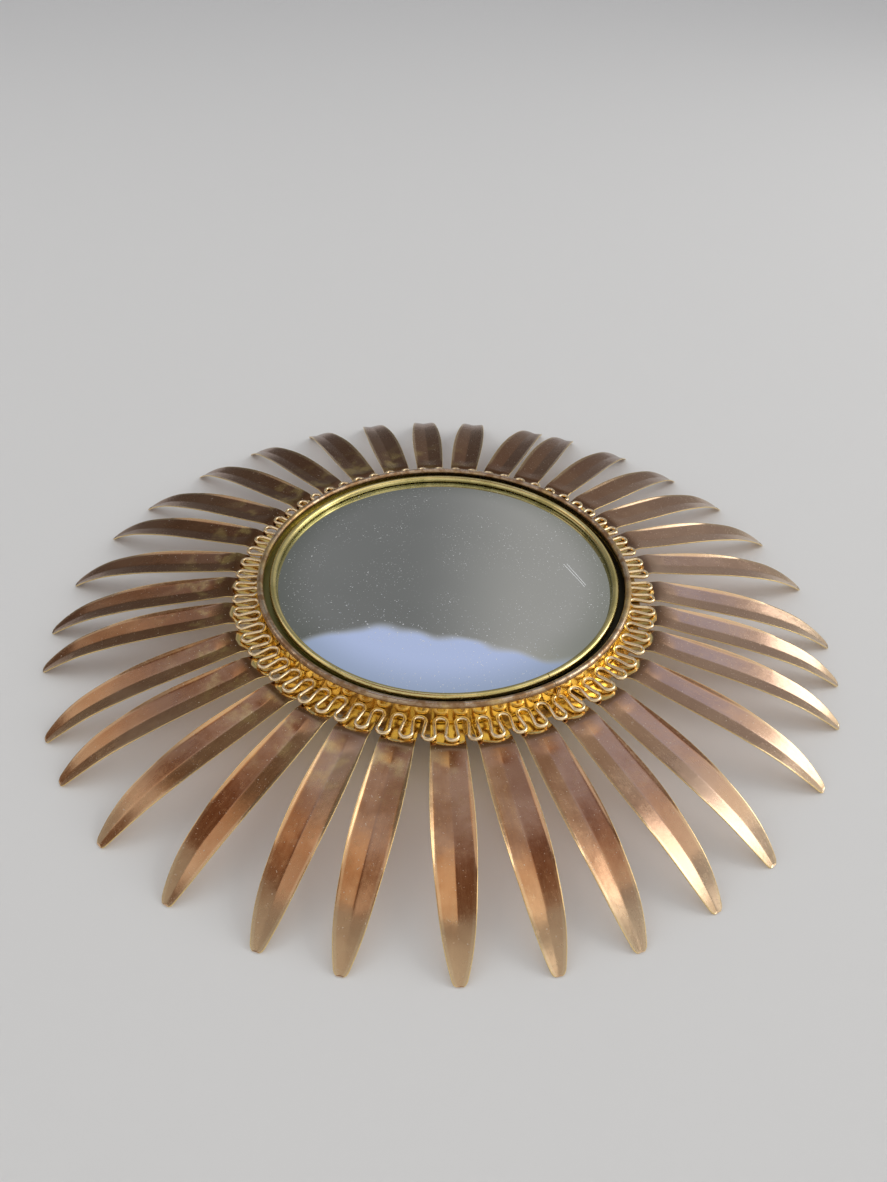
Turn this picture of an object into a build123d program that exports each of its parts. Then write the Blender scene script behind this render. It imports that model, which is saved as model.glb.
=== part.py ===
from build123d import *
from math import acos, asin, cos, degrees, pi, radians, sin, sqrt
import os

# Convex mirror in a brass sunburst frame. Millimetres.
# The pieces are drawn face up: X right, Y up the wall, Z out of the mirror's face,
# with Z = 0 at the middle of the outer bead. hang() then stands them on the wall.

# Bezel
bead_outer_radius = 125.0
bead_wire_radius = 2.1
bead_seam_angle = -57.4
bead_seam_gap = 0.3
ring_wire_radius = 2.3
ring_major_radius = 114.8
ring_height = -1.8
ring_seam_angle = -56.6
ring_seam_gap = 0.5
sheet = 0.8
leg_sheet = 0.6
leg_outset = 1.3
leg_bite = 0.5
groove_depth = 5.6
band_depth = 18.0
seam_bite = 1.2
wall_past_bead = 0.5

# Clinch tabs on the band's lower edge
tab_count = 12
tab_width = 8.0
tab_reach = 6.0

# Mirror glass and its packing
glass_radius = 115.4
glass_thickness = 3.0
glass_dome = 10.0
glass_play = 0.03
glass_flat_rim = 6.0
felt_thickness = 1.2
felt_width = 10.0
packing_inner_radius = 104.0
packing_play = 1.6
board_thickness = 2.0
plate_thickness = 0.8
disc_play = 0.3

# Rays
ray_count = 33
ray_first_angle = -88.5
ray_tip_radius = 266.4
ray_sheet = 0.8
bend_radius = 146.0
bend_height = -9.4
tongue_slope = 0.236
ray_steady_fall = 8.0
ray_tip_curl = 21.3
ray_curl_power = 4
tongue_half_width = 9.4
bend_half_width = 10.4
ray_half_width = 12.1
ray_tip_arc = 4.4
tip_arc_angle = 70.0
widest_place = 0.38
shoulder_place = 0.7
shoulder_half_width = 10.2
facet_slope = 0.17
flange_slope = 0.55
flange_width = 2.1
flange_end = 0.78
facet_start = 12.0
seat_radius = 135.0
root_inside_wall = 4.0
trim_margin = 2.0

# Hand soldering: how far each ray sits and points off the even pitch, degrees,
# anticlockwise from the lowest ray
seat_error = [0.5, 0.5, 0, 0, -0.5, 1, 1.5, 1, 0.5, 1, 1, 1, 0.5, 0, 0, -0.5, -1,
              -1, -1, -1, -0.5, 0, 0.5, 1, 1.5, 1, 1, 1, 1, 1, 0.5, 0, 0]
tip_error = [1.5, 1, -0.5, -1, -2, 1.5, 2.5, 0, -3, -0.5, 0.5, 1, 1, 1, 1.5, -3, -1,
             -1.5, -1.5, -1, 0.5, 1, 2.5, 1, 2.5, 2.5, -0.5, 2, -1, -0.5, 0.5, 1.5, 0]

# Base ring under the tongues
base_ring_width = 9.4
base_ring_sheet = 1.0
solder_film = 0.45

# Wire lace
lace_wire_radius = 1.2
lace_lobes_per_ray = 2
lace_lobe_angle = -89.7
lace_outer_apex = 141.0
lace_outer_lobe = 3.5
lace_inner_lobe = 3.75
lace_wall_gap = 0.2
lace_height = -9.05
lace_butt_gap = 0.4
lace_tail_angle = -56.7
lace_tail_top = -2.6

# Wooden back
wood_radius = 95.0
wood_edge = 2.0
wall_height = -40.0
pocket_width = 30.0
pocket_length = 54.0
pocket_depth = 10.0
pocket_corner = 5.0

# Back screws and nuts
back_screw_count = 4
back_screw_circle = 72.0
back_screw_radius = 2.0
back_screw_head = 4.0
back_screw_slot = 0.9
back_screw_sink = 0.4
back_screw_hole = 2.25
nut_across_flats = 7.0
nut_height = 3.2
nut_hole_play = 1.5
thread_clearance = 0.05

# Hanger
hanger_y = 52.0
hanger_width = 12.0
hanger_sheet = 1.0
hanger_length = 14.0
ring_wire = 1.2
ring_play = 0.15
ring_half_width = 9.5
ring_drop = 23.0
ring_corner = 3.0
hanger_screw_radius = 1.25
hanger_screw_head = 2.4
hanger_screw_head_height = 1.4
hanger_screw_length = 9.0
hanger_screw_pitch = 6.0
hanger_screw_first = 5.5
hanger_slot = 0.7

# Sizes that follow
bead_major = bead_outer_radius - bead_wire_radius
wall_outer = bead_major + wall_past_bead
wall_inner = wall_outer - sheet
wall_top = -seam_bite
leg_inner = ring_major_radius + leg_outset - leg_sheet / 2
leg_outer = leg_inner + leg_sheet
leg_top = ring_height - sqrt(ring_wire_radius**2 - leg_outset**2) + leg_bite
leg_bottom = -groove_depth - leg_sheet
band_bottom = -band_depth
plate_top = band_bottom + plate_thickness
board_top = plate_top + board_thickness
dome_radius = (glass_radius**2 + glass_dome**2) / (2 * glass_dome)
dome_centre = ring_height - sqrt((dome_radius + ring_wire_radius + glass_play)**2 - ring_major_radius**2)
glass_rim_top = dome_centre + sqrt(dome_radius**2 - glass_radius**2)
glass_rim_bottom = glass_rim_top - glass_thickness
packing_top = glass_rim_bottom - felt_thickness
ray_length = ray_tip_radius - bend_radius
ray_pitch = 360 / ray_count
base_ring_radius = wall_outer + base_ring_width
pocket_floor = wall_height + pocket_depth
curl_inner = ring_wire + ring_play
curl_outer = curl_inner + hanger_sheet
ring_axis_height = pocket_floor - curl_outer
epsilon = 0.01


def hang(piece):
    """Stand a face-up piece on the wall: +Z up, the mirror looking along -Y, the wall at Y = 0."""
    return Pos(0, wall_height, 0) * Rot(90, 0, 0) * piece


def polar(radius, angle):
    """Point on a circle, angle in degrees."""
    return Vector(radius * cos(radians(angle)), radius * sin(radians(angle)))


def turned(points):
    """Ring or disc from a closed outline of (radius, height) points."""
    outline = Polyline([(r, 0, z) for r, z in points], close=True)
    return revolve(make_face(outline), Axis.Z)


def disc(radius, top, bottom):
    return Pos(0, 0, bottom) * Cylinder(radius, top - bottom, align=(Align.CENTER, Align.CENTER, Align.MIN))


def ring(outer, inner, top, bottom):
    return turned([(inner, bottom), (outer, bottom), (outer, top), (inner, top)])


# Bezel

def drum_band():
    """Rolled brass band: drum wall, groove floor, leg up to the inner ring, and clinch tabs."""
    groove_floor = -groove_depth
    band = turned([
        (wall_outer, band_bottom), (wall_outer, wall_top), (wall_inner, wall_top),
        (wall_inner, groove_floor), (leg_outer, groove_floor), (leg_outer, leg_top),
        (leg_inner, leg_top), (leg_inner, leg_bottom), (wall_inner, leg_bottom),
        (wall_inner, band_bottom),
    ])
    tab_ring = ring(wall_outer, wall_outer - tab_reach, band_bottom, band_bottom - sheet)
    tab_block = Pos(wall_outer, 0, band_bottom) * Box(3 * tab_reach, tab_width, 3 * sheet)
    for k in range(tab_count):
        band += tab_ring & (Rot(0, 0, k * 360 / tab_count) * tab_block)
    return band


def seam_cut(radius, angle, gap, size):
    """Thin block that opens a butt seam in a wire hoop."""
    return Rot(0, 0, angle) * (Pos(radius, 0, 0) * Box(size, gap, size))


def outer_bead(band):
    hoop = Torus(bead_major, bead_wire_radius) - band
    return hoop - seam_cut(bead_major, bead_seam_angle, bead_seam_gap, 4 * bead_wire_radius)


def inner_ring(band):
    hoop = Pos(0, 0, ring_height) * Torus(ring_major_radius, ring_wire_radius) - band
    return hoop - seam_cut(ring_major_radius, ring_seam_angle, ring_seam_gap, 5 * ring_wire_radius)


# Mirror and packing

def mirror_glass():
    """Domed glass with a flat ground rim."""
    inner_radius = dome_radius - glass_thickness
    seat = glass_radius - glass_flat_rim
    half = asin(glass_radius / dome_radius) / 2
    top = (0, 0, dome_centre + dome_radius)
    top_mid = (dome_radius * sin(half), 0, dome_centre + dome_radius * cos(half))
    under_z = glass_rim_bottom
    under_rise = under_z + inner_radius - sqrt(inner_radius**2 - seat**2)
    under_half = asin(seat / inner_radius) / 2
    under_centre = under_rise - inner_radius
    under_mid = (inner_radius * sin(under_half), 0, under_centre + inner_radius * cos(under_half))
    outline = [
        ThreePointArc(top, top_mid, (glass_radius, 0, glass_rim_top)),
        Polyline((glass_radius, 0, glass_rim_top), (glass_radius, 0, under_z), (seat, 0, under_z)),
        ThreePointArc((seat, 0, under_z), under_mid, (0, 0, under_rise)),
        Line((0, 0, under_rise), top),
    ]
    return revolve(make_face(outline), Axis.Z)


def backing_board():
    board = disc(wall_inner - disc_play, board_top, plate_top)
    return board - back_screw_pattern(nut_across_flats / sqrt(3) + nut_hole_play, board_top, plate_top)


def back_plate():
    plate = disc(wall_inner - disc_play, plate_top, band_bottom)
    return plate - back_screw_pattern(back_screw_hole, plate_top, band_bottom)


# Rays

def tongue_height(radius):
    """Top of the flat tongue at a radius."""
    return bend_height + tongue_slope * (radius - bend_radius)


def edge_height(s):
    """Top of the ray's edge, s = 0 at the bend and 1 at the tip."""
    return bend_height - ray_steady_fall * s - ray_tip_curl * s**ray_curl_power


def half_width(s):
    """Half width of the leaf that the channel is pressed for."""
    return bend_half_width + (ray_half_width - bend_half_width) * sin(pi * min(s, 0.5))


def flange(s):
    """Width of the turned-up flange, none at the bend and none from flange_end on."""
    if s >= flange_end:
        return 0.0
    return flange_width * sin(pi * s / flange_end) ** 0.8


def ray_section(s):
    """Closed W-shaped section across the ray at s, drawn past the outline's edges."""
    x = bend_radius + ray_length * s
    facet = facet_slope * min(1.0, s * ray_length / facet_start)
    turn_up = flange(s)
    half = half_width(s)
    fold = half - turn_up
    edge = edge_height(s)
    rise = flange_slope if turn_up else facet
    fold_z = edge - rise * turn_up
    valley = fold_z - facet * fold
    edge_slope = facet + (rise - facet) * min(1.0, turn_up / (flange_width / 2))
    wide = half + trim_margin
    wide_z = edge + edge_slope * trim_margin
    top = [(-wide, wide_z), (-fold, fold_z), (0, valley), (fold, fold_z), (wide, wide_z)]
    under = [(y, z - ray_sheet) for y, z in reversed(top)]
    return make_face(Polyline([(x, y, z) for y, z in top + under], close=True))


def leaf_outline():
    """Plan of one ray, from inside the drum wall to the rounded tip."""
    root = wall_outer - root_inside_wall
    arc_centre = ray_tip_radius - ray_tip_arc
    arc_x = arc_centre + ray_tip_arc * cos(radians(tip_arc_angle))
    arc_y = ray_tip_arc * sin(radians(tip_arc_angle))
    arc_way = (sin(radians(tip_arc_angle)), -cos(radians(tip_arc_angle)))
    widest = bend_radius + widest_place * ray_length
    shoulder = bend_radius + shoulder_place * ray_length
    side = Spline(
        (bend_radius, bend_half_width), (widest, ray_half_width),
        (shoulder, shoulder_half_width), (arc_x, arc_y),
        tangents=((1, 0.06), arc_way),
    )
    tongue_side = Line((root, tongue_half_width), (bend_radius, bend_half_width))
    tip = ThreePointArc((arc_x, arc_y), (ray_tip_radius, 0), (arc_x, -arc_y))
    sides = [tongue_side, side]
    other = [mirror(edge, about=Plane.XZ) for edge in sides]
    heel = Line((root, tongue_half_width), (root, -tongue_half_width))
    return make_face(sides + [tip] + other + [heel])


def pressed_ray():
    """One ray along +X: flat tongue that rises to the bend, then the creased channel."""
    stations = [0, 0.03, 0.07, 0.13, 0.22, 0.33, 0.45, 0.57, 0.68, 0.78, 0.87, 0.94, 1.04]
    channel = loft([ray_section(s) for s in stations])
    root = wall_outer - root_inside_wall
    top = [(root, tongue_height(root)), (bend_radius, bend_height)]
    under = [(x, z - ray_sheet) for x, z in reversed(top)]
    strip = make_face(Polyline([(x, 0, z) for x, z in top + under], close=True))
    tongue = extrude(strip, amount=bend_half_width + trim_margin, both=True)
    plan = Pos(0, 0, wall_height) * extrude(leaf_outline(), amount=-wall_height, dir=(0, 0, 1))
    return (tongue + channel) & plan


def rays():
    """All rays, each with its own seat and lean, trimmed to the drum wall."""
    leaf = pressed_ray()
    drum = disc(wall_outer + epsilon, 0, band_bottom)
    lever = ray_tip_radius / (ray_tip_radius - seat_radius)
    made = {}
    for k in range(ray_count):
        seat = seat_error[k % len(seat_error)]
        lean = (tip_error[k % len(tip_error)] - seat) * lever
        at_seat = Pos(seat_radius, 0, 0) * Rot(0, 0, lean) * Pos(-seat_radius, 0, 0) * leaf
        placed = Rot(0, 0, ray_first_angle + k * ray_pitch + seat) * at_seat
        made[f"ray_{k + 1:02d}"] = placed - drum
    return made


def base_ring():
    """Coned ring that the tongues are soldered to."""
    drop = ray_sheet + solder_film
    inner_top = tongue_height(wall_outer) - drop
    outer_top = tongue_height(base_ring_radius) - drop
    return turned([
        (wall_outer, inner_top), (base_ring_radius, outer_top),
        (base_ring_radius, outer_top - base_ring_sheet), (wall_outer, inner_top - base_ring_sheet),
    ])


# Wire lace

def cross_tangent(start, start_radius, end, end_radius, side):
    """Ends of the straight leg that crosses between two round lobes."""
    way = end - start
    spread = degrees(acos((start_radius + end_radius) / way.length))
    normal = way.normalized().rotate(Axis.Z, side * spread)
    return start + normal * start_radius, end - normal * end_radius


def wire_lace():
    """Serpentine wire of keyhole loops round the drum, with its tail turned up the wall."""
    lobes = ray_count * lace_lobes_per_ray
    pitch = 360 / lobes
    inner_apex = wall_outer + lace_wall_gap + lace_wire_radius
    inner_centre = inner_apex + lace_inner_lobe
    outer_centre = lace_outer_apex - lace_outer_lobe
    first = lace_lobe_angle + round((lace_tail_angle - lace_lobe_angle) / pitch) * pitch
    edges = []
    entry_lobe = polar(inner_centre, first)
    entry_turn = degrees(asin((lace_wire_radius + lace_butt_gap / 2) / lace_inner_lobe))
    entry = entry_lobe + polar(lace_inner_lobe, first + 180 - entry_turn)
    for k in range(lobes):
        inner = polar(inner_centre, first + k * pitch)
        outer = polar(outer_centre, first + (k + 0.5) * pitch)
        following = polar(inner_centre, first + (k + 1) * pitch)
        leave, arrive = cross_tangent(inner, lace_inner_lobe, outer, lace_outer_lobe, 1)
        depart, reach = cross_tangent(outer, lace_outer_lobe, following, lace_inner_lobe, -1)
        if k == 0:
            middle = entry_lobe + polar(lace_inner_lobe, first + 135)
        else:
            middle = polar(inner_apex, first + k * pitch)
        edges.append(ThreePointArc(entry, middle, leave))
        edges.append(Line(leave, arrive))
        edges.append(ThreePointArc(arrive, polar(lace_outer_apex, first + (k + 0.5) * pitch), depart))
        edges.append(Line(depart, reach))
        entry = reach
    end = polar(inner_apex, first) - polar(lace_butt_gap / 2, first + 90)
    edges.append(ThreePointArc(entry, entry_lobe + polar(lace_inner_lobe, first - 135), end))
    path = Pos(0, 0, lace_height) * Wire([edge.edge() for edge in edges])
    start = path @ 0
    section = Plane(origin=start, z_dir=path % 0) * Circle(lace_wire_radius)
    lace = sweep(section, path=path)
    tail_height = lace_tail_top - lace_height
    tail = Pos(start) * Cylinder(lace_wire_radius, tail_height, align=(Align.CENTER, Align.CENTER, Align.MIN))
    return lace + tail


# Wooden back and its fasteners

def back_screw_spots():
    return [polar(back_screw_circle, 45 + k * 360 / back_screw_count) for k in range(back_screw_count)]


def back_screw_pattern(radius, top, bottom):
    """Round holes through a disc at each back screw."""
    hole = disc(radius, top + 1, bottom - 1)
    return [Pos(spot.X, spot.Y, 0) * hole for spot in back_screw_spots()]


def wood_back():
    """Turned wooden disc that stands the mirror off the wall, with a pocket for the hanger."""
    wood = disc(wood_radius, band_bottom, wall_height)
    wood = chamfer(wood.edges().group_by(Axis.Z)[0], wood_edge)
    floor = Pos(0, hanger_y, wall_height) * RectangleRounded(pocket_width, pocket_length, pocket_corner)
    wood -= extrude(floor, amount=pocket_depth, dir=(0, 0, 1))
    wood -= back_screw_pattern(back_screw_hole, band_bottom, wall_height)
    sink_radius = back_screw_head + back_screw_sink
    sink = Pos(0, 0, wall_height + sink_radius / 2) * Cone(sink_radius, 0, sink_radius)
    return wood - [Pos(spot.X, spot.Y, 0) * sink for spot in back_screw_spots()]


def screw(head, shank, shank_length, slot):
    """Slotted countersunk screw, head down at Z = 0."""
    cone = Pos(0, 0, head / 2) * Cone(head, 0, head)
    rod = Cylinder(shank, shank_length, align=(Align.CENTER, Align.CENTER, Align.MIN))
    return cone + rod - Box(3 * head, slot, 2 * slot)


def back_screws():
    head_height = wall_height + back_screw_sink
    length = plate_top + nut_height - head_height
    one = Pos(0, 0, head_height) * screw(back_screw_head, back_screw_radius, length, back_screw_slot)
    return Compound(children=[Pos(spot.X, spot.Y, 0) * one for spot in back_screw_spots()])


def back_nuts():
    hexagon = RegularPolygon(nut_across_flats / 2, 6, major_radius=False)
    nut = extrude(hexagon - Circle(back_screw_radius + thread_clearance), amount=nut_height)
    nut = Pos(0, 0, plate_top) * nut
    return Compound(children=[Pos(spot.X, spot.Y, 0) * nut for spot in back_screw_spots()])


# Hanger

def hanger_screw_spots():
    first = hanger_y - curl_outer - hanger_screw_first + ring_wire
    return [(0, first), (0, first - hanger_screw_pitch)]


def hanger_plate():
    """Strap on the pocket floor whose top end is curled round the hanging ring's bar."""
    curl = Pos(0, hanger_y, ring_axis_height) * Rot(0, 90, 0) * (
        Cylinder(curl_outer, hanger_width) - Cylinder(curl_inner, hanger_width)
    )
    mid_y = hanger_y - hanger_length / 2
    strap = Pos(0, mid_y, pocket_floor - hanger_sheet / 2) * Box(hanger_width, hanger_length, hanger_sheet)
    plate = curl + strap
    for x, y in hanger_screw_spots():
        hole_radius = hanger_screw_radius + thread_clearance
        plate -= Pos(x, y, pocket_floor) * Cylinder(hole_radius, 4 * hanger_sheet)
    return plate


def hanger_screws():
    made = []
    for x, y in hanger_screw_spots():
        under_head = pocket_floor - hanger_sheet
        head = Pos(x, y, under_head - hanger_screw_head_height / 2)
        button = head * Cylinder(hanger_screw_head, hanger_screw_head_height)
        slot = Pos(0, 0, -hanger_screw_head_height / 2) * Box(3 * hanger_screw_head, hanger_slot, hanger_slot)
        shank = Pos(x, y, under_head) * Cylinder(
            hanger_screw_radius, hanger_screw_length, align=(Align.CENTER, Align.CENTER, Align.MIN)
        )
        made.append(button + shank - head * slot)
    return Compound(children=made)


def screw_pilots():
    """Pilot holes in the wood for the hanger screws."""
    hole = Cylinder(hanger_screw_radius, hanger_screw_length, align=(Align.CENTER, Align.CENTER, Align.MIN))
    return [Pos(x, y, pocket_floor - hanger_sheet) * hole for x, y in hanger_screw_spots()]


def hanging_ring():
    """D-shaped wire ring whose straight bar turns in the strap's curl."""
    w = ring_half_width
    c = ring_corner
    bow = hanger_y - ring_drop + w
    top = hanger_y
    path = Wire([
        Line((c - w, top), (w - c, top)).edge(),
        ThreePointArc((w - c, top), (w - c + c * sin(pi / 4), top - c + c * cos(pi / 4)), (w, top - c)).edge(),
        Line((w, top - c), (w, bow)).edge(),
        ThreePointArc((w, bow), (0, bow - w), (-w, bow)).edge(),
        Line((-w, bow), (-w, top - c)).edge(),
        ThreePointArc((-w, top - c), (c - w - c * sin(pi / 4), top - c + c * cos(pi / 4)), (c - w, top)).edge(),
    ])
    path = Pos(0, 0, ring_axis_height) * path
    section = Plane(origin=path @ 0, z_dir=path % 0) * Circle(ring_wire)
    return sweep(section, path=path)


# Build and write

band = drum_band()
pieces = {
    "mirror_glass": mirror_glass(),
    "drum_band": band,
    "outer_bead": outer_bead(band),
    "inner_ring": inner_ring(band),
    "felt_seat": ring(glass_radius, glass_radius - felt_width, glass_rim_bottom, packing_top),
    "packing_ring": ring(wall_inner - packing_play, packing_inner_radius, packing_top, board_top),
    "backing_board": backing_board(),
    "back_plate": back_plate(),
    "base_ring": base_ring(),
    "wire_lace": wire_lace(),
    "wood_back": wood_back() - screw_pilots(),
    "back_screws": back_screws(),
    "back_nuts": back_nuts(),
    "hanger_plate": hanger_plate(),
    "hanger_screws": hanger_screws(),
    "hanging_ring": hanging_ring(),
}
pieces.update(rays())

os.makedirs("parts", exist_ok=True)
for node, piece in pieces.items():
    export_step(hang(piece), f"parts/{node}.step")
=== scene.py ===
import math
import random

import bpy
import numpy as np
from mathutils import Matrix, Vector


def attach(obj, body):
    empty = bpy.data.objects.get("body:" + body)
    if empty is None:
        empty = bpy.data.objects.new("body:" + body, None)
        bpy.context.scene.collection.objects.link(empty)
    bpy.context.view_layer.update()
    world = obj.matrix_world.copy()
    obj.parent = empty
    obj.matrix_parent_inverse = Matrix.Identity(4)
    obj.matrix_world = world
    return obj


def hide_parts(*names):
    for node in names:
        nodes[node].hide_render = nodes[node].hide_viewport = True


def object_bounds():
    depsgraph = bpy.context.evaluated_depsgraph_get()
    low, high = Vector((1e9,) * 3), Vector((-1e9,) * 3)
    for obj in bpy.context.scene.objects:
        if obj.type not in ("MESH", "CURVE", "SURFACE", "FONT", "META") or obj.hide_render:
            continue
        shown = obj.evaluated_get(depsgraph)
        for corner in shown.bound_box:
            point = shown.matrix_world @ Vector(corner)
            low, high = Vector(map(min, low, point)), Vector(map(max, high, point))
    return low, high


# A round convex mirror in a brass sunburst frame, hanging on a wall.
# Metres, upright: +Z up the wall, the mirror looks along -Y, the wall is Y = 0.
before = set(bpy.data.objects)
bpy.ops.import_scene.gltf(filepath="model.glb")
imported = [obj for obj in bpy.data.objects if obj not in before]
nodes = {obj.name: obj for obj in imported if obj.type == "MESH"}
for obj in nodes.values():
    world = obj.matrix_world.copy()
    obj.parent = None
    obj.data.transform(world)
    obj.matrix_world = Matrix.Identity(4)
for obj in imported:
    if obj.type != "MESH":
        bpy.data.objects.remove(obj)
cad_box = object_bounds()
scene = bpy.context.scene

# Camera: a wide lens below the mirror and in front of it, looking up along the wall.
camera_data = bpy.data.cameras.new("camera")
camera_data.lens = 26.83
camera_data.sensor_width = 36
camera = bpy.data.objects.new("camera", camera_data)
camera.location = (0, -0.41287, -0.46367)
camera.rotation_euler = [math.radians(a) for a in (139.824, -1.276, -1.452)]
scene.collection.objects.link(camera)
scene.camera = camera


# Drum band: rolled and polished brass. Its wall carries the bead and the lace leans on it.
# Between bead and inner ring it forms an open groove: olive on the left as a painted reflection
# and near black on the right as painted shade.
class Value:
    """A shader socket that takes part in sums."""

    def __init__(self, finish, socket):
        self.finish = finish
        self.socket = socket

    def sum(self, operation, *terms):
        return self.finish.node("ShaderNodeMath", {"operation": operation}, dict(enumerate(terms)))

    def __add__(self, other):
        return self.sum("ADD", self, other)

    def __sub__(self, other):
        return self.sum("SUBTRACT", self, other)

    def __rsub__(self, other):
        return self.sum("SUBTRACT", other, self)

    def __mul__(self, other):
        return self.sum("MULTIPLY", self, other)

    def __pow__(self, other):
        return self.sum("POWER", self, other)

    def __abs__(self):
        return self.sum("ABSOLUTE", self)

    __radd__ = __add__
    __rmul__ = __mul__


class Finish:
    """One material, or the world, as nodes."""

    def __init__(self, owner):
        owner.use_nodes = True
        self.tree = owner.node_tree
        self.tree.nodes.clear()
        self.owner = owner

    def find(self, sockets, key):
        if isinstance(key, int):
            return sockets[key]
        return next((s for s in sockets if s.identifier == key), None) or sockets[key]

    def put(self, socket, value):
        if isinstance(value, Value):
            self.tree.links.new(value.socket, socket)
        elif isinstance(value, tuple) and socket.type == "RGBA":
            socket.default_value = (*value, 1)
        else:
            socket.default_value = value

    def node(self, kind, settings, values, out=0):
        """Add a node: its settings first, then the values or links of its sockets."""
        made = self.tree.nodes.new(kind)
        for name, setting in settings.items():
            setattr(made, name, setting)
        for key, value in values.items():
            self.put(self.find(made.inputs, key), value)
        return Value(self, self.find(made.outputs, out)) if made.outputs else None

    def place(self):
        """Where a point is, in the row frame."""
        return self.node("ShaderNodeTexCoord", {}, {}, "Object")

    def axes(self, vector):
        split = self.node("ShaderNodeSeparateXYZ", {}, {"Vector": vector})
        return [Value(self, s) for s in split.socket.node.outputs]

    def vector(self, x, y, z):
        return self.node("ShaderNodeCombineXYZ", {}, {"X": x, "Y": y, "Z": z})

    def noise(self, vector, scale, detail=3.0, rough=0.55):
        return self.node("ShaderNodeTexNoise", {}, {
            "Vector": vector, "Scale": scale, "Detail": detail, "Roughness": rough}, "Fac")

    def step(self, value, low, high):
        """Smooth rise from 0 to 1 as value goes from low to high; falls where low is the larger."""
        if low > high:
            return 1 - self.step(value, high, low)
        return self.node("ShaderNodeMapRange", {"interpolation_type": "SMOOTHSTEP"}, {
            "Value": value, "From Min": low, "From Max": high})

    def mix(self, share, first, second):
        return self.node("ShaderNodeMix", {"data_type": "RGBA"}, {
            "Factor_Float": share, "A_Color": first, "B_Color": second}, "Result_Color")

    def bump(self, height, distance):
        return self.node("ShaderNodeBump", {}, {"Height": height, "Distance": distance})

    def surface(self, **values):
        """Principled surface; names are its sockets, with _ for a space."""
        values = {name.replace("_", " "): value for name, value in values.items()}
        shader = self.node("ShaderNodeBsdfPrincipled", {}, values)
        self.node("ShaderNodeOutputMaterial", {}, {"Surface": shader})
        return self.owner


def dress(material, *names):
    """Give CAD nodes a finish."""
    for name in names:
        nodes[name].data.materials.clear()
        nodes[name].data.materials.append(material)


groove_radius = 0.1227
groove_top = -0.0330
groove_blend = 0.0003
groove_shade_reach = (-0.09, 0.01)
band_gold = (0.98, 0.75, 0.28)
band_tarnish = (0.66, 0.41, 0.13)
groove_painted_reflection = (0.26, 0.25, 0.09)
groove_painted_shadow = (0.035, 0.032, 0.02)

finish = Finish(bpy.data.materials.new("polished_brass_band"))
at = finish.place()
x, y, z = finish.axes(at)
radius = (x * x + z * z) ** 0.5
blotch = finish.step(finish.noise(at, 55.0), 0.50, 0.68)
groove = finish.step(radius, groove_radius, groove_radius - groove_blend)
groove = groove * finish.step(y, groove_top + groove_blend, groove_top)
tint = finish.mix(blotch * 0.3, band_gold, band_tarnish)
# Painted light in the groove: olive painted reflection on the left, near black painted shade on the
# right.
grime_and_groove_shade = finish.mix(finish.step(x, *groove_shade_reach), groove_painted_reflection, groove_painted_shadow)
tint = finish.mix(groove, tint, grime_and_groove_shade)
hairs = finish.noise(finish.vector(x, y * 30, z), 160.0, 2.0)
dress(finish.surface(
    Base_Color=tint,
    Metallic=1.0,
    Roughness=0.14 + blotch * 0.08 + groove * 0.35,
    Normal=finish.bump(hairs, 0.00002),
), "drum_band")


# Outer bead: half-hard brass wire, its lacquer browned and rubbed silvery in patches, with a
# painted highlight adding silver along its crown.
# It is rolled into a hoop and soldered on the band, with a butt seam at the lower right.
bead_taupe = (0.34, 0.20, 0.10)
bead_silver_wear_and_highlight = (0.72, 0.58, 0.42)
bead_gold = (0.80, 0.58, 0.24)
bead_pit = (0.16, 0.11, 0.08)
bead_crown = (-0.0406, -0.0419)

finish = Finish(bpy.data.materials.new("worn_brass_bead"))
at = finish.place()
_, y, _ = finish.axes(at)
wear = finish.step(finish.noise(at, 130.0, 6.0, 0.7), 0.42, 0.60)
rub = finish.step(finish.noise(at, 38.0), 0.52, 0.66)
speck = finish.step(finish.noise(at, 1500.0, 2.0), 0.60, 0.70)
crown_highlight = finish.step(y, *bead_crown)
# Silver on the random wear patches is wear; the extra silver on the crown is a painted highlight.
tint = finish.mix(wear * (0.35 + crown_highlight * 0.45), bead_taupe, bead_silver_wear_and_highlight)
tint = finish.mix(rub * 0.55, tint, bead_gold)
tint = finish.mix(speck * 0.4, tint, bead_pit)
dress(finish.surface(
    Base_Color=tint,
    Metallic=1.0,
    Roughness=0.40 - crown_highlight * wear * 0.16 + speck * 0.2,
    Normal=finish.bump(finish.noise(at, 420.0, 4.0, 0.65), 0.00012),
), "outer_bead")


# Inner ring: softer brass wire on the band's inner leg, rolled down on the glass.
# Old clear lacquer leaves it pale olive gold, with darker lacquer runs.
ring_gold = (0.84, 0.71, 0.32)
ring_olive = (0.50, 0.43, 0.15)
ring_grime = (0.10, 0.09, 0.05)

finish = Finish(bpy.data.materials.new("pale_brass_ring"))
at = finish.place()
runs = finish.step(finish.noise(at, 48.0, 4.0), 0.42, 0.64)
grime_and_groove_shade = finish.step(finish.noise(at, 600.0, 3.0), 0.60, 0.74)
tint = finish.mix(runs * 0.7, ring_gold, ring_olive)
tint = finish.mix(grime_and_groove_shade * 0.5, tint, ring_grime)
dress(finish.surface(
    Base_Color=tint,
    Metallic=1.0,
    Roughness=0.20 + runs * 0.10 + grime_and_groove_shade * 0.25,
    Normal=finish.bump(finish.noise(at, 260.0, 4.0), 0.00004),
), "inner_ring")


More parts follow.
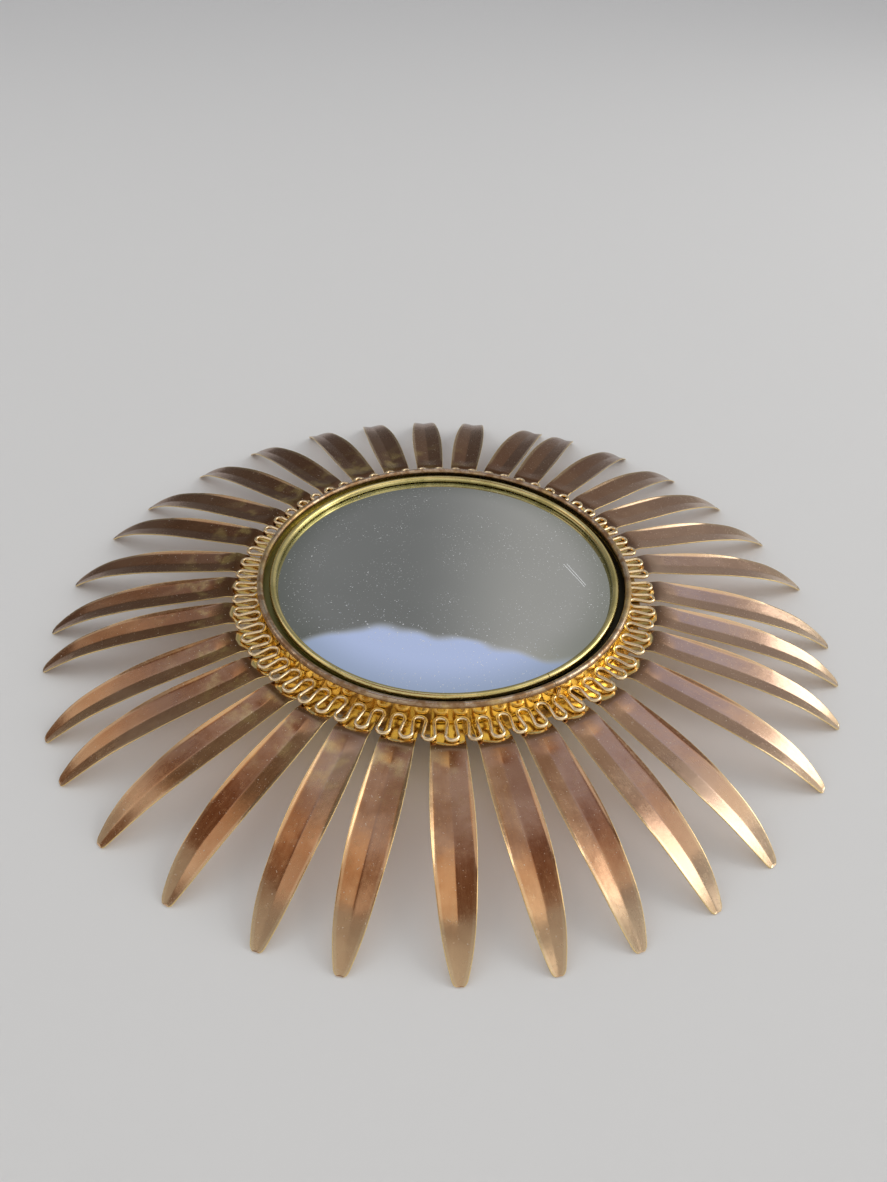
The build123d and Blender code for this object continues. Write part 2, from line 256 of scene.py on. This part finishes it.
# Mirror glass: 3 mm glass, slumped to a dome and silvered behind. It reflects as a true
# sphere about dome_centre. Dust and two short scratches lie on it, and the silver greys a
# little towards the rim. A scratch: middle across and up, turn in degrees, length.
glass_radius = 0.1154
glass_dome = 0.0100
glass_front = cad_box[0][1]
dome_radius = (glass_radius ** 2 + glass_dome ** 2) / (2 * glass_dome)
dome_centre = (0, glass_front + dome_radius, 0)
glass_grey = (0.72, 0.74, 0.74)
glass_rim = (0.50, 0.53, 0.50)
scratches = [(0.0872, -0.0012, -60, 0.026), (0.0888, 0.0, -61, 0.024)]
scratch_width = (0.00032, 0.00014)
scratch_sway = 0.0006
scratch_taper = 0.001
dust_white = (0.90, 0.91, 0.90)
greyed_from = (0.085, 0.116)

finish = Finish(bpy.data.materials.new("silvered_glass"))
at = finish.place()
x, _, z = finish.axes(at)
radius = (x * x + z * z) ** 0.5
dust = finish.step(finish.noise(at, 950.0, 1.0), 0.70, 0.73)
dust = dust * finish.step(finish.noise(at, 22.0, 3.0), 0.38, 0.56)
haze = finish.step(finish.noise(at, 9.0, 4.0), 0.40, 0.75)
mark = 0.0
for across, up, turn, length in scratches:
    cos_turn = math.cos(math.radians(turn))
    sin_turn = math.sin(math.radians(turn))
    along = (x - across) * cos_turn + (z - up) * sin_turn
    aside = (x - across) * -sin_turn + (z - up) * cos_turn
    aside = aside + (finish.noise(at, 500.0, 2.0) - 0.5) * scratch_sway
    line = finish.step(abs(aside), *scratch_width)
    mark = line * finish.step(abs(along), length / 2, length / 2 - scratch_taper) + mark
cover = finish.node("ShaderNodeMath", {"operation": "MAXIMUM"}, {0: dust * 0.8, 1: mark})
tint = finish.mix(finish.step(radius, *greyed_from), glass_grey, glass_rim)
tint = finish.mix(cover, tint, dust_white)
bulge = finish.node("ShaderNodeVectorMath", {"operation": "SUBTRACT"}, {0: at, 1: dome_centre})
dress(finish.surface(
    Base_Color=tint,
    Metallic=1 - cover,
    Roughness=0.015 + haze * 0.03 + cover * 0.5,
    Normal=finish.node("ShaderNodeVectorMath", {"operation": "NORMALIZE"}, {0: bulge}),
), "mirror_glass")


# Felt seat, packing ring and backing board: grey wool felt and wood-pulp card.
# They press the glass up against the inner ring.
felt_dark = (0.07, 0.09, 0.07)
felt_light = (0.24, 0.27, 0.23)
card_dark = (0.34, 0.26, 0.17)
card_light = (0.62, 0.52, 0.38)

finish = Finish(bpy.data.materials.new("wool_felt"))
at = finish.place()
fibre = finish.noise(at, 900.0, 6.0, 0.8)
dress(finish.surface(
    Base_Color=finish.mix(fibre, felt_dark, felt_light),
    Roughness=0.95,
    Normal=finish.bump(fibre, 0.0004),
), "felt_seat")

finish = Finish(bpy.data.materials.new("pulp_card"))
at = finish.place()
fibre = finish.noise(at, 500.0, 6.0, 0.75)
dress(finish.surface(
    Base_Color=finish.mix(fibre, card_dark, card_light),
    Roughness=0.9,
    Normal=finish.bump(fibre, 0.0002),
), "packing_ring", "backing_board")


# Back plate: sheet steel disc, dipped in black stoving paint that pools in faint runs.
# The drum band's tabs are clinched over it.
paint_black = (0.018, 0.018, 0.02)
paint_pooled = (0.055, 0.052, 0.05)
paint_rust = (0.24, 0.13, 0.07)

finish = Finish(bpy.data.materials.new("black_stoved_paint"))
at = finish.place()
x, y, z = finish.axes(at)
orange_peel = finish.noise(at, 380.0, 3.0)
chip = finish.step(finish.noise(at, 210.0, 5.0, 0.7), 0.70, 0.73)
runs = finish.noise(finish.vector(x * 6, y, z), 14.0, 3.0)
tint = finish.mix(runs, paint_black, paint_pooled)
dress(finish.surface(
    Base_Color=finish.mix(chip, tint, paint_rust),
    Metallic=chip * 0.4,
    Roughness=0.34 + runs * 0.12 + chip * 0.3,
    Normal=finish.bump(orange_peel - chip * 0.6, 0.00012),
), "back_plate")


# Base ring: coned brass strip round the drum, hidden under the tongues.
# The soldering flux has left it bright in places and brown in others.
strip_bright = (0.80, 0.57, 0.22)
strip_flux = (0.30, 0.18, 0.09)

finish = Finish(bpy.data.materials.new("fluxed_brass"))
at = finish.place()
flux = finish.step(finish.noise(at, 90.0, 5.0), 0.42, 0.60)
dress(finish.surface(
    Base_Color=finish.mix(flux, strip_bright, strip_flux),
    Metallic=1.0,
    Roughness=0.24 + flux * 0.25,
    Normal=finish.bump(finish.noise(at, 320.0, 4.0), 0.00012),
), "base_ring")


# Rays: 33 leaves pressed from 0.8 mm brass, browned, with the sheared edges still golden.
# Each has a flat tongue soldered to the base ring, a bend, and a creased channel whose
# flanges turn up and whose tip curls back to the wall, where it ends flat.

# Millimetres, with the leaf's face up, until it is hung. Angles in degrees.
ray_count = 33
first_ray = -88.5
metre = 1000
drum_radius = 123.4
tip_radius = 266.4
bend = 146.0
bend_height = -9.4
wall_height = -40.0
seat_radius = 135.0
leaf_sheet = 0.8
tip_foil = 0.02
root_inside = 4.0
root_half = 9.4
bend_half = 10.4
leaf_belly = 1.7
leaf_shape = [(bend, bend_half), (191.75, 12.1), (230.28, 10.2), (263.5, 4.135)]
leaf_slopes = (0.06, -0.364)
tip_arc = 4.4
tip_arc_start = 66
tip_cut = 23
tongue_slope = 0.236
steady_fall = 8
tip_curl = 21.3
curl_power = 4
facet_slope = 0.17
facet_run = 12
crease_round = 0.4
fold_round = 0.3
flange_slope = 0.55
flange_width = 2.1
flange_end = 0.78
fold_limit = 0.86
tongue_inset = 0.6
bend_gap = 0.8
tongue_rows = 9
blade_rows = 56
tip_rows = 8
row_crowding = 1.15
face_steps = [0, 0.03, 0.07, 0.16, 0.3, 0.45, 0.6, 0.75, 0.88, 0.95, 1.0]
flange_steps = [0.12, 0.3, 0.6, 1.0]
sheared_inset = 0.22
sheared_edge = [(0.07, 0.09), (0.0, 0.28), (0.0, 0.52), (0.07, 0.71)]
calm_root = 0.03
calm_span = 0.9
dent_depth = (0.10, 0.22)
long_dent = (9.5, 5.5)
short_dent = (4.3, 3.7)
whole_turn = 6.283
seat_error = [0.5, 0.5, 0, 0, -0.5, 1, 1.5, 1, 0.5, 1, 1, 1, 0.5, 0, 0, -0.5, -1,
              -1, -1, -1, -0.5, 0, 0.5, 1, 1.5, 1, 1, 1, 1, 1, 0.5, 0, 0]
tip_error = [1.5, 1, -0.5, -1, -2, 1.5, 2.5, 0, -3, -0.5, 0.5, 1, 1, 1, 1.5, -3, -1,
             -1.5, -1.5, -1, 0.5, 1, 2.5, 1, 2.5, 2.5, -0.5, 2, -1, -0.5, 0.5, 1.5, 0]


def smooth_line(points, slopes):
    """Coefficients of the smooth line through points with these end slopes."""
    px, py = np.array(points, float).T
    gap = np.diff(px)
    size = len(px)
    system = np.eye(size)
    target = np.zeros(size)
    target[0], target[-1] = slopes
    for i in range(1, size - 1):
        system[i, i - 1:i + 2] = 1 / gap[i - 1], 2 / gap[i - 1] + 2 / gap[i], 1 / gap[i]
        target[i] = 3 * ((py[i] - py[i - 1]) / gap[i - 1] ** 2 + (py[i + 1] - py[i]) / gap[i] ** 2)
    return px, py, np.linalg.solve(system, target)


leaf_line = smooth_line(leaf_shape, leaf_slopes)


def leaf_half(x):
    """Half width of the cut leaf at radius x."""
    if x <= bend:
        root = drum_radius - root_inside
        return root_half + (bend_half - root_half) * (x - root) / (bend - root)
    if x >= leaf_shape[-1][0]:
        return math.sqrt(max(0.0, tip_arc ** 2 - (x - tip_radius + tip_arc) ** 2))
    px, py, slope = leaf_line
    i = int(np.searchsorted(px, x)) - 1
    gap = px[i + 1] - px[i]
    t = (x - px[i]) / gap
    return ((2 * t ** 3 - 3 * t ** 2 + 1) * py[i] + (t ** 3 - 2 * t ** 2 + t) * gap * slope[i]
            + (3 * t ** 2 - 2 * t ** 3) * py[i + 1] + (t ** 3 - t ** 2) * gap * slope[i + 1])


def leaf_fold(x):
    """Half width between the folds, and the flange's width, at radius x."""
    s = (x - bend) / (tip_radius - bend)
    half = bend_half + leaf_belly * math.sin(math.pi * min(max(s, 0), 0.5))
    if not 0 < s < flange_end:
        return half, 0.0
    return half, flange_width * math.sin(math.pi * s / flange_end) ** 0.8


def leaf_height(x, y):
    """Top of the sheet at radius x, y across."""
    if x <= bend:
        return bend_height + tongue_slope * (x - bend)
    s = (x - bend) / (tip_radius - bend)
    half, turn_up = leaf_fold(x)
    facet = facet_slope * min(1.0, (x - bend) / facet_run)
    rise = max(flange_slope if turn_up else facet, facet)
    fold = half - turn_up
    fall = steady_fall * s + tip_curl * s ** curl_power
    valley = bend_height - fall - rise * turn_up - facet * fold
    crease = math.hypot(y, crease_round) - crease_round / 2
    over = abs(y) - fold
    lift = (over + math.hypot(over, fold_round)) / 2
    return valley + facet * crease + (rise - facet) * lift


def leaf_rows():
    """Radii of the cross sections, closer where the sheet bends."""
    tongue = np.linspace(drum_radius - tongue_inset, bend - bend_gap, tongue_rows)
    blade = bend + (leaf_shape[-1][0] - bend) * np.linspace(0, 1, blade_rows) ** row_crowding
    arc = np.radians(np.linspace(tip_arc_start, tip_cut, tip_rows))
    return [*tongue, *blade[1:], *(tip_radius - tip_arc + tip_arc * np.cos(arc))]


def pressed_leaf(name, angle, lean, dents):
    """One ray as a closed skin: rounded sheared edge, crease, folds and hand-made waviness."""
    rows = leaf_rows()
    points = []
    marks = []
    for x in rows:
        width = leaf_half(x)
        half, turn_up = leaf_fold(x)
        rim = width - sheared_inset
        fold = min(half - turn_up, rim * fold_limit)
        side = [fold * f for f in face_steps] + [fold + (rim - fold) * f for f in flange_steps]
        across = [-v for v in reversed(side)] + side[1:]
        s = (x - bend) / (tip_radius - bend)
        calm = math.sin(math.pi * min(1, max(0, (s - calm_root) / calm_span)))
        wave = [dents(x, y) * calm * (1 - (y / (width + 0.01)) ** 2) for y in across]
        top = [leaf_height(x, y) + w for y, w in zip(across, wave)]
        top = [(y, max(h, wall_height + tip_foil)) for y, h in zip(across, top)]
        under = [(y, max(h - leaf_sheet, wall_height)) for y, h in top]
        shoulder = leaf_height(x, width)
        edge = [(width - i, max(shoulder - drop, wall_height)) for i, drop in sheared_edge]
        loop = top + edge + under[::-1] + [(-y, h) for y, h in reversed(edge)]
        points.append([(x, y, h) for y, h in loop])
        marks.append([(x / metre, y / metre, (width - abs(y)) / metre) for y, _ in loop])
    loop_size = len(points[0])
    faces = []
    for r in range(len(rows) - 1):
        for c in range(loop_size):
            d = (c + 1) % loop_size
            low, high = r * loop_size, (r + 1) * loop_size
            faces.append((low + c, low + d, high + d, high + c))
    faces.append(tuple(range(loop_size))[::-1])
    faces.append(tuple((len(rows) - 1) * loop_size + c for c in range(loop_size)))
    flat = np.array(points).reshape(-1, 3)
    turn = math.radians(angle + lean)
    pivot = seat_radius * np.array([math.cos(math.radians(angle)), math.sin(math.radians(angle))])
    out = flat[:, 0] - seat_radius
    right = pivot[0] + out * math.cos(turn) - flat[:, 1] * math.sin(turn)
    up = pivot[1] + out * math.sin(turn) + flat[:, 1] * math.cos(turn)
    hung = np.stack([right, wall_height - flat[:, 2], up], axis=1) / metre
    mesh = bpy.data.meshes.new(name)
    mesh.from_pydata(hung.tolist(), [], faces)
    mesh.polygons.foreach_set("use_smooth", [True] * len(faces))
    mark = mesh.attributes.new("leaf", "FLOAT_VECTOR", "POINT")
    mark.data.foreach_set("vector", np.array(marks, np.float32).ravel())
    mesh.update()
    leaf = bpy.data.objects.new(name, mesh)
    scene.collection.objects.link(leaf)
    return leaf


ray_brown = (0.38, 0.172, 0.072)
ray_rose = (0.60, 0.340, 0.175)
ray_ash = (0.52, 0.43, 0.32)
ray_shadow = (0.15, 0.068, 0.036)
ray_gold = (1.0, 0.76, 0.28)
ray_painted_highlight = (0.76, 0.62, 0.40)
ray_dust = (0.74, 0.66, 0.55)
ray_painted_sheen = (0.64, 0.50, 0.42)
ray_copper = (0.50, 0.30, 0.14)
ray_dark_band = (0.16, 0.075, 0.03)
rim_painted_highlight = (0.98, 0.80, 0.46)
edge_gold = (0.90, 0.68, 0.30)
lit_side_reach = (0.01, 0.20)
painted_shade_reach = (-0.07, 0.13)
tip_highlight_fade = (0.215, 0.268)
scallop_curve = 40
tongue_edge = (0.1446, 0.1432)
dark_band_reach = (0.1570, 0.1450)
rim_inside = (0.1424, 0.1434)
rim_outside = (0.1444, 0.1436)
root_highlight_reach = (0.200, 0.150)
root_highlight_side = (0.06, -0.06)
flange_band = (0.0024, 0.0015)
flange_start = (0.150, 0.160)
edge_band = (0.00050, 0.00018)

finish = Finish(bpy.data.materials.new("browned_brass_leaf"))
at = finish.place()
right, _, up = finish.axes(at)
mark = finish.node("ShaderNodeAttribute", {"attribute_name": "leaf"}, {}, "Vector")
along, across, inset = finish.axes(mark)
grain = finish.vector(along * 4, across * 60, right * 9)
patch = finish.step(finish.noise(at, 26.0, 4.0, 0.6), 0.40, 0.62)
cloud = finish.step(finish.noise(at, 11.0, 2.0), 0.50, 0.68)
streak = finish.step(finish.noise(grain, 14.0, 4.0, 0.7), 0.35, 0.68)
fine = finish.noise(finish.vector(along * 30, across * 700, up * 30), 3.0, 2.0)
speck = finish.step(finish.noise(at, 1000.0, 1.0), 0.72, 0.77)
mottle = finish.step(finish.noise(at, 240.0, 5.0, 0.7), 0.50, 0.66)
tint = finish.mix(patch * 0.6 + streak * 0.12, ray_brown, ray_rose)
tint = finish.mix(cloud * 0.34, tint, ray_ash)
tint = finish.mix(mottle * 0.2, tint, ray_copper)
# Painted sheen: rays on the right side, the lit side, are tinted pale mauve.
tint = finish.mix(finish.step(right, *lit_side_reach) * 0.55, tint, ray_painted_sheen)
# Painted shade: rays towards the upper left are darkened towards ray_shadow, and their painted tip
# highlight fades.
upper_left_painted_shade = finish.step(up - right * 0.55, *painted_shade_reach)
tint = finish.mix(upper_left_painted_shade * 0.74, tint, ray_shadow)
# Painted highlight: the tips fade to pale cream.
tip = finish.step(along + (finish.noise(at, 60.0, 4.0) - 0.5) * 0.03, *tip_highlight_fade)
tint = finish.mix(tip * (0.42 - upper_left_painted_shade * 0.40), tint, ray_painted_highlight)
scallop = along + across * across * scallop_curve + (finish.noise(at, 120.0, 2.0) - 0.5) * 0.003
scallop = scallop + finish.step(up, -0.06, 0.05) * 0.0035
tongue = finish.step(scallop, *tongue_edge)
# A darker brown band just outside the gold tongue.
dark_band = finish.step(scallop, *dark_band_reach) * (1 - tongue)
# Painted highlight: gold patches near the roots of the rays on the left side.
root_painted_highlight = finish.step(finish.noise(at, 75.0, 4.0), 0.48, 0.68) * finish.step(along, *root_highlight_reach)
tint = finish.mix(root_painted_highlight * finish.step(right, *root_highlight_side) * 0.4, tint, ray_gold)
tint = finish.mix(dark_band * 0.7, tint, ray_dark_band)
tint = finish.mix(tongue, tint, ray_gold)
# Painted highlight: a pale gold line along the edge of the gold tongue.
rim = finish.step(scallop, *rim_inside) * finish.step(scallop, *rim_outside)
tint = finish.mix(rim * 0.5, tint, rim_painted_highlight)
# Painted reflection: the flanges are tinted pale cream.
flange = finish.step(inset, *flange_band) * finish.step(along, *flange_start)
tint = finish.mix(flange * 0.3, tint, ray_painted_highlight)
edge = finish.step(inset, *edge_band)
tint = finish.mix(edge * 0.9, tint, edge_gold)
tint = finish.mix(speck * 0.6, tint, ray_dust)
swell = finish.noise(at, 130.0, 2.0) * 0.5 + rim * 0.6
leaf_material = finish.surface(
    Base_Color=tint,
    Metallic=1 - speck * 0.6,
    Roughness=0.20 + streak * 0.04 + mottle * 0.06 + cloud * 0.10 + speck * 0.3 - tongue * 0.06,
    Normal=finish.bump(fine * 0.05 + swell, 0.00020),
)

random.seed(33)
lever = tip_radius / (tip_radius - seat_radius)
for k in range(ray_count):
    phase = [random.uniform(0, whole_turn) for _ in range(6)]
    depth = random.uniform(*dent_depth)

    def dents(x, y, phase=phase, depth=depth):
        """Low waves that the hand hammer left, in mm."""
        long_wave = math.sin(x / long_dent[0] + phase[0]) * math.cos(y / long_dent[1] + phase[1])
        short_wave = math.sin(x / short_dent[0] + phase[2] + y / short_dent[1])
        return depth * (0.55 * long_wave + 0.105 * short_wave)

    seat = seat_error[k]
    lean = (tip_error[k] - seat) * lever
    angle = first_ray + k * 360 / ray_count + seat
    node = f"ray_{k + 1:02d}"
    leaf = pressed_leaf(f"brass_leaf_{k + 1:02d}", angle, lean, dents)
    leaf.data.materials.append(leaf_material)
    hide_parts(node)
    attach(leaf, "frame")


# Wire lace: one length of 2.4 mm brass wire, bent into two keyhole loops for each ray.
# It is soldered on the tongues. Its underside is painted brown as painted shade, and its crown is
# bright.
lace_gold = (0.98, 0.78, 0.48)
lace_painted_shade = (0.36, 0.19, 0.07)
lace_underside = (-0.0315, -0.0303)

finish = Finish(bpy.data.materials.new("lace_wire"))
at = finish.place()
_, y, _ = finish.axes(at)
# Painted shade: the wire's side towards the wall and the tongues is darkened brown.
under = finish.step(y, *lace_underside)
stain = finish.step(finish.noise(at, 120.0, 4.0), 0.50, 0.68)
tint = finish.mix(stain * 0.3 + under * 0.65, lace_gold, lace_painted_shade)
dress(finish.surface(
    Base_Color=tint,
    Metallic=1.0,
    Roughness=0.20 + stain * 0.12,
    Normal=finish.bump(finish.noise(at, 700.0, 3.0), 0.00004),
), "wire_lace")


# Wooden back: a turned hardwood disc that holds the frame off the wall, oiled long ago.
# The lathe's rings still show on its rear face.
wood_dark = (0.17, 0.090, 0.045)
wood_light = (0.44, 0.27, 0.145)
wood_stain = (0.09, 0.05, 0.03)
lathe_rings = 5200

finish = Finish(bpy.data.materials.new("oiled_hardwood"))
at = finish.place()
x, y, z = finish.axes(at)
radius = (x * x + z * z) ** 0.5
sway = finish.noise(finish.vector(x, y, z * 0.35), 9.0, 3.0) * 0.05
grain = finish.step(finish.noise(finish.vector(x + sway, y, z * 0.05), 85.0, 6.0, 0.6), 0.34, 0.66)
pore = finish.step(finish.noise(finish.vector(x * 26, y * 26, z), 70.0, 3.0), 0.60, 0.70)
lathe = finish.node("ShaderNodeMath", {"operation": "SINE"}, {0: radius * lathe_rings})
tint = finish.mix(grain * 0.75 + pore * 0.25, wood_light, wood_dark)
stain = finish.step(finish.noise(at, 16.0, 3.0), 0.55, 0.8)
tint = finish.mix(stain * 0.45, tint, wood_stain)
dress(finish.surface(
    Base_Color=tint,
    Roughness=0.52 - grain * 0.08 + pore * 0.2,
    Normal=finish.bump(lathe * 0.12 + grain * 0.25 - pore * 0.7, 0.00018),
), "wood_back")


# Back screws, nuts, hanger plate, its screws and the hanging ring: zinc-plated steel.
# The plating has dulled, with rust where a driver or the hook has rubbed it.
zinc_light = (0.60, 0.60, 0.58)
zinc_dark = (0.44, 0.44, 0.42)
rust_brown = (0.23, 0.11, 0.05)

finish = Finish(bpy.data.materials.new("zinc_plated_steel"))
at = finish.place()
spangle = finish.node("ShaderNodeTexVoronoi", {}, {"Vector": at, "Scale": 420.0}, "Distance")
rust = finish.step(finish.noise(at, 260.0, 5.0, 0.7), 0.56, 0.68)
tint = finish.mix(spangle, zinc_light, zinc_dark)
dress(finish.surface(
    Base_Color=finish.mix(rust * 0.8, tint, rust_brown),
    Metallic=1 - rust * 0.6,
    Roughness=0.30 + spangle * 0.15 + rust * 0.35,
    Normal=finish.bump(finish.noise(at, 900.0, 3.0), 0.00008),
), "back_screws", "back_nuts", "hanger_plate", "hanger_screws", "hanging_ring")


# Studio: a pale wall that the mirror hangs on, a pale floor, soft boxes and a pale world.
# The wall is seen from the room only, so that the back can be looked at. Brass and glass
# reflect the world's own surroundings: warm below, grey above, with a pale blue panel.
def plane(name, corners):
    mesh = bpy.data.meshes.new(name)
    mesh.from_pydata(corners, [], [(0, 1, 2, 3)])
    made = bpy.data.objects.new(name, mesh)
    scene.collection.objects.link(made)
    return made


studio_pale = (0.80, 0.79, 0.77)
wall_half = 6.0
wall_gap = 0.0006
floor_height = -1.5

finish = Finish(bpy.data.materials.new("studio_wall"))
behind = finish.node("ShaderNodeNewGeometry", {}, {}, "Backfacing")
lamp_ray = finish.node("ShaderNodeLightPath", {}, {}, "Is Shadow Ray")
paint = finish.node("ShaderNodeBsdfDiffuse", {}, {"Color": studio_pale})
clear = finish.node("ShaderNodeBsdfTransparent", {}, {})
gone = finish.node("ShaderNodeMath", {"operation": "MAXIMUM"}, {0: behind, 1: lamp_ray})
shader = finish.node("ShaderNodeMixShader", {}, {0: gone, 1: paint, 2: clear})
finish.node("ShaderNodeOutputMaterial", {}, {"Surface": shader})
wall_top = 2 * wall_half
wall = plane("wall", [(-wall_half, wall_gap, floor_height), (wall_half, wall_gap, floor_height),
                      (wall_half, wall_gap, wall_top), (-wall_half, wall_gap, wall_top)])
wall.data.materials.append(finish.owner)

finish = Finish(bpy.data.materials.new("studio_floor"))
shader = finish.node("ShaderNodeBsdfDiffuse", {}, {"Color": studio_pale})
finish.node("ShaderNodeOutputMaterial", {}, {"Surface": shader})
around = [(-1, -1), (1, -1), (1, 1), (-1, 1)]
floor = plane("floor", [(wall_half * x, wall_half * y, floor_height) for x, y in around])
floor.data.materials.append(finish.owner)


def softbox(name, place, aim, size, power, tint=(1, 1, 1)):
    data = bpy.data.lights.new(name, "AREA")
    data.shape = "RECTANGLE"
    data.size, data.size_y = size
    data.energy = power
    data.color = tint
    lamp = bpy.data.objects.new(name, data)
    lamp.location = place
    lamp.rotation_euler = (Vector(aim) - Vector(place)).to_track_quat("-Z", "Y").to_euler()
    scene.collection.objects.link(lamp)


softbox("key", (2.5, -1.7, 0.5), (0, 0, 0), (1.7, 1.7), 24)
softbox("fill", (-1.9, -1.9, 0.3), (0, 0, 0), (1.8, 1.8), 7)
softbox("low_right", (1.1, -1.0, -1.0), (0, 0, -0.1), (0.45, 0.35), 0.4, (1, 0.97, 0.92))
softbox("rear_left", (-1.2, 1.9, 1.0), (0, 0, 0), (1.6, 1.6), 22)
softbox("rear_right", (1.4, 1.7, 0.2), (0, 0, 0), (1.4, 1.4), 10)

room_umber = (1.0, 0.55, 0.34)
room_cream = (1.0, 0.92, 0.80)
room_grey = (0.88, 0.88, 0.86)
room_white = (1.0, 0.97, 0.92)
panel_blue = (0.60, 0.69, 1.0)
panel_top = (0.585, 0.56)
panel_foot = (0.24, 0.34)
panel_side = (0.50, 0.36)
panel_glow = 0.92

finish = Finish(bpy.data.worlds.new("studio"))
scene.world = finish.owner
way = finish.node("ShaderNodeTexCoord", {}, {}, "Generated")
side, _, height = finish.axes(way)
path = finish.node("ShaderNodeLightPath", {}, {}, "Is Camera Ray").socket.node
ray_kinds = ("Is Camera Ray", "Is Glossy Ray", "Is Transmission Ray")
camera_ray, glossy_ray, clear_ray = [Value(finish, path.outputs[kind]) for kind in ray_kinds]
soft = finish.noise(way, 1.7, 3.0)
brink = height + (soft - 0.5) * 0.3
bright_side = finish.step(side, -0.10, 0.22)
under = finish.step(height, 0.60, 0.20)
panel = finish.step(brink, *panel_top) * finish.step(height, *panel_foot)
panel = panel * finish.step(abs(side), *panel_side)
warm = finish.mix(bright_side, room_umber, room_cream)
grey = finish.mix(bright_side, room_grey, room_white)
sky = finish.mix(under, grey, warm)
sky = finish.mix(panel, sky, panel_blue)
shade = 0.20 - under * 0.04 + bright_side * (0.16 + under * 0.72) + soft * 0.10
glow = shade + (panel_glow - shade) * panel
glossy = finish.node("ShaderNodeBackground", {}, {"Color": sky, "Strength": glow})
pale = finish.node("ShaderNodeBackground", {}, {"Color": (0.93, 0.93, 0.92), "Strength": 1.0})
room = finish.node("ShaderNodeBackground", {}, {"Color": (0.95, 0.96, 1.0), "Strength": 0.55})
shader = finish.node("ShaderNodeMixShader", {}, {0: glossy_ray + clear_ray, 1: room, 2: glossy})
shader = finish.node("ShaderNodeMixShader", {}, {0: camera_ray, 1: shader, 2: pale})
finish.node("ShaderNodeOutputWorld", {}, {"Surface": shader})

scene.view_settings.view_transform = "Standard"
